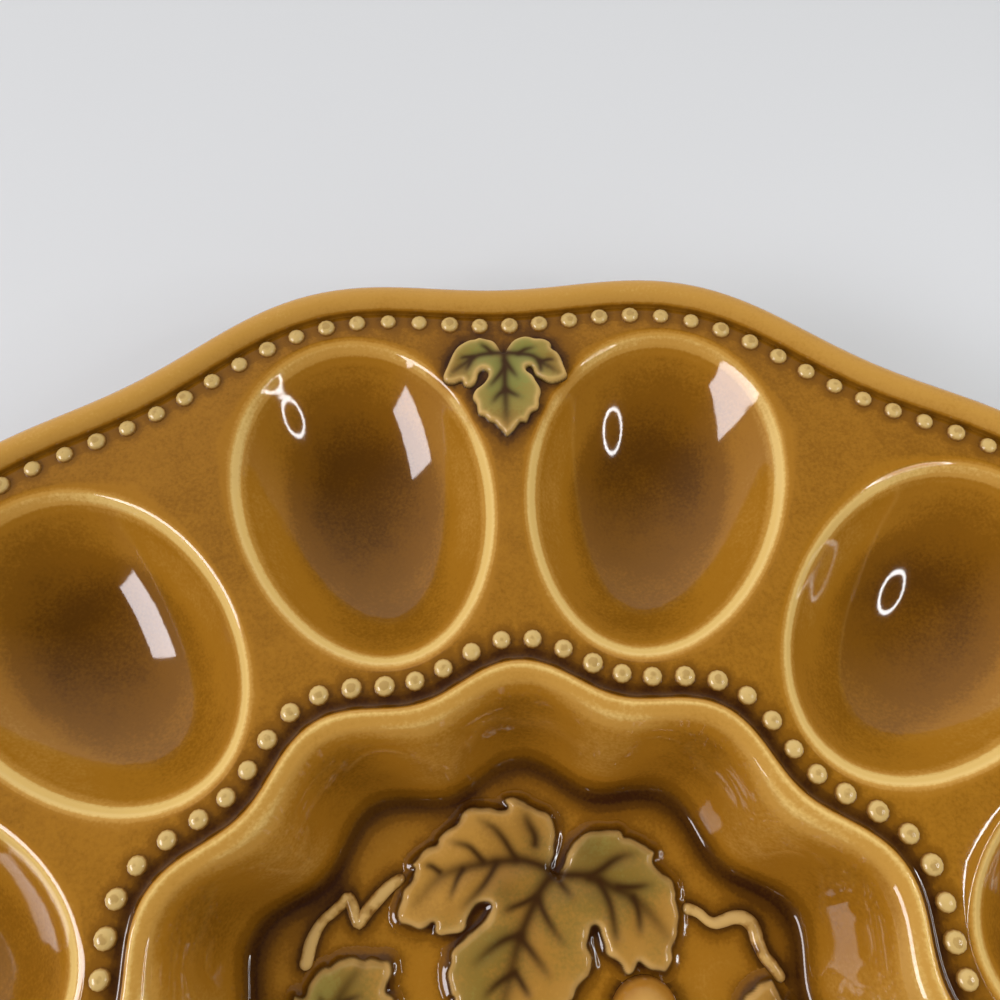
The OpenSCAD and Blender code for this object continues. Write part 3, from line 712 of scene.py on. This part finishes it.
rim_leaf_veins = [
    (0.72, [(-1, 0), (-29, 3), (-57, 9), (-75, 25), (-92, 38), (-104, 49)]),
    (0.86, [(0, 0), (0, 38), (1, 70), (1, 102), (1, 136), (1, 164)]),
    (0.72, [(1, 0), (31, 1), (59, 7), (76, 20), (99, 38), (108, 46)]),
    (0.59, [(26, -2), (36, -13), (48, -20)]), (0.55, [(62, 8), (79, 8), (90, 13)]),
    (0.61, [(65, 11), (71, 26), (79, 42)]), (0.59, [(-29, 3), (-43, -6), (-63, -10)]),
    (0.61, [(-70, 21), (-72, 37), (-71, 50)]), (0.55, [(-73, 22), (-90, 19), (-101, 22)]),
    (0.68, [(0, 35), (16, 57), (33, 79)]), (0.66, [(1, 86), (14, 95), (28, 115)]),
    (0.66, [(-1, 19), (-13, 39), (-25, 60)]), (0.68, [(1, 83), (-13, 93), (-29, 104)])]
rim_leaf_tints = [(0, 4, -0.1), (-4, 1, 0.0), (4, 1, 0.05), (0, 10, 0.05), (-10, 4, 0.45), (10, 4, 0.5),
                  (0, 16, 0.55)]
skirt = 0.3 * mm


def swung(points, angle):
    """Points turned anticlockwise by an angle."""
    c, s = math.cos(angle), math.sin(angle)
    return points @ np.array([[c, s], [-s, c]])


def fitted(points, lobes):
    """Spots of the large leaf, in mm, moved to suit a leaf with other lobes, each a bearing and a reach."""
    at, reach = np.arctan2(*points.T), np.hypot(*points.T)
    old, new = (np.radians([-180, *(a for a, _ in tips), 180]) for tips in (leaf_lobes, lobes))
    sizes = [r / drawn for (_, r), (_, drawn) in zip(lobes, leaf_lobes)]
    back = (sizes[0] + sizes[2]) / 2
    reach = reach * np.interp(at, old, [back, *sizes, back])
    at = np.interp(at, old, new)
    return np.stack([reach * np.sin(at), reach * np.cos(at)], 1)


def near_line(points, line):
    """Distance from each point to a line, and how far along the line its nearest spot is."""
    best, along = np.full(len(points), np.inf), np.zeros(len(points))
    for i, (a, b) in enumerate(zip(line[:-1], line[1:])):
        d = b - a
        t = np.clip((points - a) @ d / max(d @ d, 1e-18), 0, 1)
        gap = np.hypot(*(points - a - t[:, None] * d).T)
        nearer = gap < best
        best[nearer], along[nearer] = gap[nearer], (i + t[nearer]) / (len(line) - 1)
    return best, along


def depth_inside(points, outline):
    """Distance to a closed outline, positive inside it."""
    line = np.vstack([outline, outline[:1]])
    inside = np.zeros(len(points), bool)
    x, y = points.T
    for (ax, ay), (bx, by) in zip(line[:-1], line[1:]):
        if ay != by:
            inside ^= ((ay > y) != (by > y)) & (x < ax + (y - ay) * (bx - ax) / (by - ay))
    return np.where(inside, 1, -1) * near_line(points, line)[0]


leaf_glaze, tree, shader, place = empty_material("leaf_glaze")
brush = weighted(tree, (attribute(tree, "tint"), 1.0), (grain(tree, place, 130), 0.5),
                 (grain(tree, place, 1500, 3.0), 0.3))
wash_stops = [(0.0, (0.245, 0.25, 0.055)), (0.2, (0.285, 0.22, 0.045)), (0.36, (0.265, 0.165, 0.028)),
              (0.6, (0.42, 0.21, 0.034)), (0.8, (0.52, 0.265, 0.045)), (1.0, (0.60, 0.31, 0.065))]
wash = ramp(tree, brush, wash_stops)
dark_vein = (0.046, 0.018, 0.004, 1)
pale_edge = (0.72, 0.46, 0.155, 1)
patchy = weighted(tree, (grain(tree, place, 260), 1.2), (1.0, 0.9))
rubbed = blended(tree, calc(tree, "MULTIPLY", attribute(tree, "margin"), patchy), wash, pale_edge)
# The dark of the veins, with the painted shade of the hollows
veined = blended(tree, attribute(tree, "vein"), rubbed, dark_vein)
around = blended(tree, attribute(tree, "outside"), veined, poured(tree, place))
dress(tree, shader, around, 0.07, (0.15, 0.15 * mm, grain(tree, place, 420, 3.0)))


def pooled_and_shaded(gap):
    """How much darker the amber glaze is at a gap from a sprig's foot: glaze pooled there, and painted shade.
    """
    return 0.44 * np.exp(-gap / (1.4 * mm)) + 0.09 * np.exp(-gap / (4.0 * mm))


def joined(first, second):
    """Two shares from 0 to 1, run softly into one."""
    return 1 - (1 - first) * (1 - second)


def relief(outline, veins, shaded_hollows, tints, height, foot, edge_w, pitch):
    """A leaf around its stalk, from its drawing in mm, with the glaze that fills the corner along its foot:
    cells, points, lifts, distance inside and paint."""
    outline = through(np.vstack([outline, outline[:1]]), 3)[:-1] * mm
    fillet = 2.9 * foot * height
    low, high = outline.min(0) - fillet - 2 * pitch, outline.max(0) + fillet + 2 * pitch
    xs, ys = np.arange(low[0], high[0], pitch), np.arange(low[1], high[1], pitch)
    points = np.stack(np.meshgrid(xs, ys, indexing="ij"), 2).reshape(-1, 2)

    def far_from(x, y):
        return np.hypot(points[:, 0] - x * mm, points[:, 1] - y * mm)

    # The edge, with small scallops where three waves cross it
    edge_waves = np.array([(1.6, 0.55), (-0.7, 1.8), (1.05, -1.3)])
    nibbled = np.sin(points @ edge_waves.T / mm + np.arange(3)).sum(1)
    even = depth_inside(points, outline)
    shoulder_w = 0.5 * height
    scallop_h = 0.05 * height
    d = even + scallop_h * nibbled * hump(even, 0, shoulder_w)
    # The veins, which fade towards their ends: a wide soft valley, and the dark glaze in it
    valley, dark = np.zeros(len(points)), np.zeros(len(points))
    widest = max(width for width, _ in veins)
    for width, line in veins:
        gap, along = near_line(points, through(line, 3) * mm)
        gap = gap / (width * mm)
        cut = 1 - 0.7 * along ** 4
        valley = joined(valley, cut * width / widest * hump(gap, 0, 2.2))
        dark = joined(dark, cut * (0.76 * hump(gap, 0, 1) + 0.22 * np.exp(-gap / 1.7)))
    # The soft hollows sink the sheet a little and are painted dark, as painted shade
    for x, y, reach, depth in shaded_hollows:
        hollow = depth * hump(far_from(x, y), 0, reach * mm)
        valley, dark = joined(valley, 0.7 * hollow), joined(dark, hollow)
    vein_dip, sunk = 0.36, 0.012 * mm
    shoulder = np.clip(d / shoulder_w, 0, 1)
    corner = foot * np.clip(1 + even / fillet, 0, 1) ** 2
    rise = np.where(d > 0, foot + (1 - foot) * (1 - (1 - shoulder) ** 2), corner)
    lift = height * rise * (1 - vein_dip * valley) - sunk
    # The paint, and the amber glaze around the leaf, painted darkest where the leaf hems it in, as painted
    # shade
    spread = 0.16 * np.hypot(*outline.T).max()
    near = np.array([np.exp(-far_from(x, y) / spread) for x, y, _ in tints])
    tint = (near * np.array(tints)[:, 2:]).sum(0) / near.sum(0)
    margin = 0.65 * hump(d, 0.6 * edge_w, 0.8 * edge_w) + 0.25 * np.exp(-np.abs(d) / (2.5 * edge_w))
    edge_line = np.clip(1 - d / (0.12 * height), 0, 1)
    gap = np.clip(-even, 0, None)
    # Painted shade in the notches: how much more leaf lies around a point than beside a straight edge
    blur = hump(np.arange(-2 * height, 2 * height, pitch), 0, height)
    around = (d > 0).reshape(len(xs), len(ys)).astype(float)
    for axis in (0, 1):
        around = np.apply_along_axis(np.convolve, axis, around, blur / blur.sum(), "same")
    beside_straight = 1 / (1 + np.exp(2.4 * gap / height))
    hemmed_shade = np.clip(around.ravel() - beside_straight, 0, 1) * np.clip(1 + d / fillet, 0, 1)
    paint = {"tint": tint, "margin": np.clip(margin, 0, 1), "pool_and_shade": pooled_and_shaded(gap) + 1.5 * hemmed_shade,
             "vein": np.clip(np.maximum(dark, 0.85 * edge_line), 0, 1),
             "outside": np.clip(0.5 - d / (0.3 * mm), 0, 1)}
    cells = np.arange(len(points)).reshape(len(xs), len(ys))
    cells = np.stack([cells[:-1, :-1], cells[1:, :-1], cells[1:, 1:], cells[:-1, 1:]], 2).reshape(-1, 4)
    return cells[(d > -fillet)[cells].all(1)], points, lift, d, paint


dish = BVHTree.FromPolygons([v.co for v in platter_body.data.vertices],
                            [p.vertices for p in platter_body.data.polygons])
sprig_feet = []


def set_leaf(name, shape, spot, seat, bearing):
    """Puts a leaf on its seat, with its stalk on the spot and its tip at the bearing, and closes it below."""
    cells, points, lift, d, paint = shape
    used, cells = np.unique(cells, return_inverse=True)
    lift, d = lift[used], d[used]
    flat = swung(points[used], -bearing) + np.array(spot)
    rest = np.full(len(flat), seat)
    for j in np.flatnonzero(d < 0):
        rest[j] = dish.ray_cast((*flat[j], 2 * flange_z), (0, 0, -1))[0].z
    r, at = np.hypot(*flat.T), np.arctan2(*flat.T)
    on_floor = r - centre_wave * (r / floor_r) ** 2 * np.cos(lobes * at)
    scale = on_floor if seat == floor_z else 0 * r + flange_scale
    mesh = bpy.data.meshes.new(name)
    mesh.from_pydata(np.column_stack([flat, rest + lift]).tolist(), [], cells.reshape(-1, 4).tolist())
    for key, values in paint.items():
        give(mesh, key, values[used])
    give(mesh, "scale", scale)
    mesh.shade_smooth()
    close_below(mesh, skirt)
    mesh.materials.append(leaf_glaze)
    leaf = put(f"{name}_glazed", mesh)
    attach(leaf, "root")
    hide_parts(name)
    sprig_feet.extend((x, y, seat) for x, y in flat[np.abs(d) < 0.25 * mm])


rim_leaf_r = 132.5 * mm
rim_leaf_count = 4
rim_veins = [(width, np.array(line) / 10) for width, line in rim_leaf_veins]
rim_leaf = relief(np.array(rim_leaf_edge) / 100, rim_veins, [], rim_leaf_tints, height=1.3 * mm, foot=0.1,
                  edge_w=0.75 * mm, pitch=0.19 * mm)
for i in range(rim_leaf_count):
    b = i * math.tau / rim_leaf_count
    spot = (rim_leaf_r * math.sin(b), rim_leaf_r * math.cos(b))
    set_leaf(f"rim_leaf_{i + 1}", rim_leaf, spot, flange_z, b + math.pi)

# The spray on the floor: x and y of each leaf's stalk in mm, the bearing of its tip in degrees, its lobes
# as above, and how much its paint differs from the large leaf's
spray_k = 1.0134
spray = [(5.1, 35.0, 205, [(-75, 25.1), (0, 31.6), (53, 28.4)], 0.0),
         (-34.8, 2, 105.7, [(-78.5, 22.8), (0, 20.5), (78, 19)], -0.1),
         (38.4, -4.8, 257, [(-70, 14), (0, 17), (112, 21.6)], -0.25),
         (23, -36, 345, [(-68, 12), (0, 14), (68, 12)], 0.1),
         (-21.5, -37, 32, [(-68, 11.5), (0, 14), (68, 11.5)], 0.0)]
for i, (x, y, tip_bearing, lobe_tips, shift) in enumerate(spray):
    lobe_tips = [(a, r * spray_k) for a, r in lobe_tips]
    size = sum(r for _, r in lobe_tips) / sum(r for _, r in leaf_lobes)
    veins = [(width * size ** 0.6, fitted(np.array(line) / 10, lobe_tips)) for width, line in leaf_veins]
    shaded_hollows = [(*fitted(np.array([[hx, hy]]), lobe_tips)[0], reach * size, depth)
               for hx, hy, reach, depth in leaf_shaded_hollows]
    tints = [(*fitted(np.array([[tx, ty]]), lobe_tips)[0], tint + shift) for tx, ty, tint in leaf_tints]
    edge = fitted(np.array(leaf_edge) / 10, lobe_tips)
    shape = relief(edge, veins, shaded_hollows, tints, height=2.6 * mm, foot=0.3, edge_w=0.75 * mm, pitch=0.26 * mm)
    spot = (x * spray_k * mm, y * spray_k * mm)
    set_leaf(f"vine_leaf_{i + 1}", shape, spot, floor_z, math.radians(tip_bearing))


# The tendrils. Thin rolls of clay bent by hand between the leaves, half round, with rounded ends,
# under a tan glaze that is darker along their feet.
tendril_glaze, tree, shader, place = empty_material("tendril_glaze")
tendril_h = 1.2 * mm
rise = weighted(tree, (height_share(tree, place, floor_z, tendril_h), 1.0), (grain(tree, place, 500), 1.3),
                (grain(tree, place, 140), 2.4))
tendril_stops = [(0.0, (0.08, 0.032, 0.008)), (0.35, (0.25, 0.115, 0.022)), (0.7, (0.50, 0.29, 0.08)),
                 (1.0, (0.66, 0.42, 0.14))]
dress(tree, shader, ramp(tree, rise, tendril_stops), 0.09)

tendril_sizes = {"Thickness": 2.3 * mm, "Sides": 14, "Steps": 90, "Round end": 0.05, "Uneven": 1.1,
                 "Glaze": tendril_glaze}
tree, given = new_tree("tendril", tendril_sizes)
bent = add(tree, "GeometryNodeMeshToCurve", {"Mesh": given["Geometry"]}).outputs[0]
bent = add(tree, "GeometryNodeCurveSplineType", {"Curve": bent}, spline_type="CATMULL_ROM").outputs[0]
bent = add(tree, "GeometryNodeResampleCurve", {"Curve": bent, "Count": given["Steps"]}).outputs[0]
part = add(tree, "GeometryNodeSplineParameter").outputs["Factor"]
from_end = calc(tree, "MINIMUM", part, calc(tree, "SUBTRACT", 1.0, part))
near_end = add(tree, "ShaderNodeMapRange",
               {0: from_end, 1: 0.0, 2: given["Round end"], 3: 0.0, 4: 1.0}).outputs[0]
rounded = calc(tree, "SQRT", calc(tree, "MULTIPLY", near_end, calc(tree, "SUBTRACT", 2.0, near_end)))
lumpy = add(tree, "ShaderNodeTexNoise", {"Scale": 90.0, "Detail": 1.0}).outputs[0]
lumpy = calc(tree, "MULTIPLY_ADD", calc(tree, "SUBTRACT", lumpy, 0.5), given["Uneven"], 1.0)
half = calc(tree, "MULTIPLY", given["Thickness"], 0.5)
section = add(tree, "GeometryNodeCurvePrimitiveCircle",
              {"Resolution": given["Sides"], "Radius": half}).outputs[0]
rod = add(tree, "GeometryNodeCurveToMesh", {"Curve": bent, "Profile Curve": section, "Fill Caps": True,
                                            "Scale": calc(tree, "MULTIPLY", rounded, lumpy)}).outputs[0]
close_tree(tree, rod, given["Glaze"])

# Their bends, in tenths of a mm
routes = [[(-216, 360), (-243, 344), (-260, 329), (-277, 312), (-289, 297), (-298, 284), (-305, 295),
           (-311, 313), (-319, 327), (-330, 317), (-345, 305), (-362, 292), (-373, 277), (-381, 262),
           (-386, 246), (-390, 228), (-394, 212)],
          [(282, 287), (298, 284), (313, 277), (326, 265), (339, 260), (355, 263), (368, 267),
           (381, 268), (394, 265), (404, 256), (409, 245), (412, 226), (420, 204), (430, 191),
           (437, 180), (448, 162)],
          [(410, -198), (426, -233), (380, -228), (390, -274), (355, -319)],
          [(35, -421), (-5, -466), (-30, -426), (-71, -466), (-111, -446)]]
axis_z = floor_z + 0.1 * mm


def note_foot(piece, band):
    """Notes where a piece meets the floor, for the glaze that pools there and the painted shade."""
    sprig_feet.extend((v.co.x, v.co.y, floor_z) for v in piece.data.vertices if abs(v.co.z - floor_z) < band)


for i, route in enumerate(routes):
    mesh = bpy.data.meshes.new(f"tendril_{i + 1}")
    links = [(j, j + 1) for j in range(len(route) - 1)]
    mesh.from_pydata([(x / 10 * mm, y / 10 * mm, axis_z) for x, y in route], links, [])
    tendril = put(f"tendril_{i + 1}_glazed", mesh)
    shape_with(tendril, tree, tendril_sizes)
    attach(tendril, "root")
    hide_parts(f"tendril_{i + 1}")
    note_foot(tendril, 0.5 * mm)


# The grapes. A bunch of round grapes pressed on the floor between the leaves, on a slanted grid,
# under the same amber glaze as the dish, thin and light on top of each grape.
grape_d = 12 * mm
grape_h = 4.2 * mm
grape_glaze, tree, shader, place = empty_material("grape_glaze")
rise = weighted(tree, (height_share(tree, place, floor_z, grape_h), 1.0), (grain(tree, place, 160), 0.25),
                (grain(tree, place, 900), 0.12))
grape_stops = [(0.0, (0.04, 0.014, 0.004)), (0.2, (0.20, 0.08, 0.01)), (0.55, (0.42, 0.19, 0.025)),
               (1.0, (0.60, 0.33, 0.08))]
dress(tree, shader, ramp(tree, rise, grape_stops), 0.06)

grape_start = np.array([19.7, 12.3]) * spray_k * mm
grape_step = np.array([12.3, 2.2]) * spray_k * mm
row_step = swung(-grape_step[None], math.pi / 2)[0] * math.sin(math.pi / 3)
grape_rows = [[0], [0.5, 1.5], [1, 2, 3], [1.5, 2.5]]
grape_spots = [grape_start - k * grape_step + row * row_step for row, ks in enumerate(grape_rows) for k in ks]
grape_sizes = {"Diameter": grape_d, "Height": grape_h, "Sides": 28, "Rings": 18, "Glaze": grape_glaze}
tree, given = new_tree("grape_bunch", grape_sizes)
half = calc(tree, "MULTIPLY", given["Diameter"], 0.5)
ball = add(tree, "GeometryNodeMeshUVSphere",
           {"Segments": given["Sides"], "Rings": given["Rings"], "Radius": half}).outputs[0]
squeeze = calc(tree, "DIVIDE", given["Height"], half)
bulk = add(tree, "ShaderNodeCombineXYZ", {0: 1.0, 1: 1.0, 2: squeeze}).outputs[0]
set_down = add(tree, "GeometryNodeInstanceOnPoints",
               {"Points": given["Geometry"], "Instance": ball, "Scale": bulk}).outputs[0]
close_tree(tree, set_down, given["Glaze"])
mesh = bpy.data.meshes.new("grape_bunch")
mesh.from_pydata([(x, y, floor_z) for x, y in grape_spots], [], [])
grape_bunch = put("grape_bunch_glazed", mesh)
shape_with(grape_bunch, tree, grape_sizes)
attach(grape_bunch, "root")
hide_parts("grape_bunch")
note_foot(grape_bunch, 0.3 * mm)


# The glaze that pools around the sprigs, darkened further by painted shade. It is darkest against a sprig's
# foot and fades out within a few millimetres; each point of the body holds how much darker it is there.
feet = KDTree(len(sprig_feet))
for i, spot in enumerate(sprig_feet):
    feet.insert(spot, i)
feet.balance()
give(platter_body.data, "pool_and_shade", pooled_and_shaded(np.array([feet.find(v.co)[2] for v in platter_body.data.vertices])))
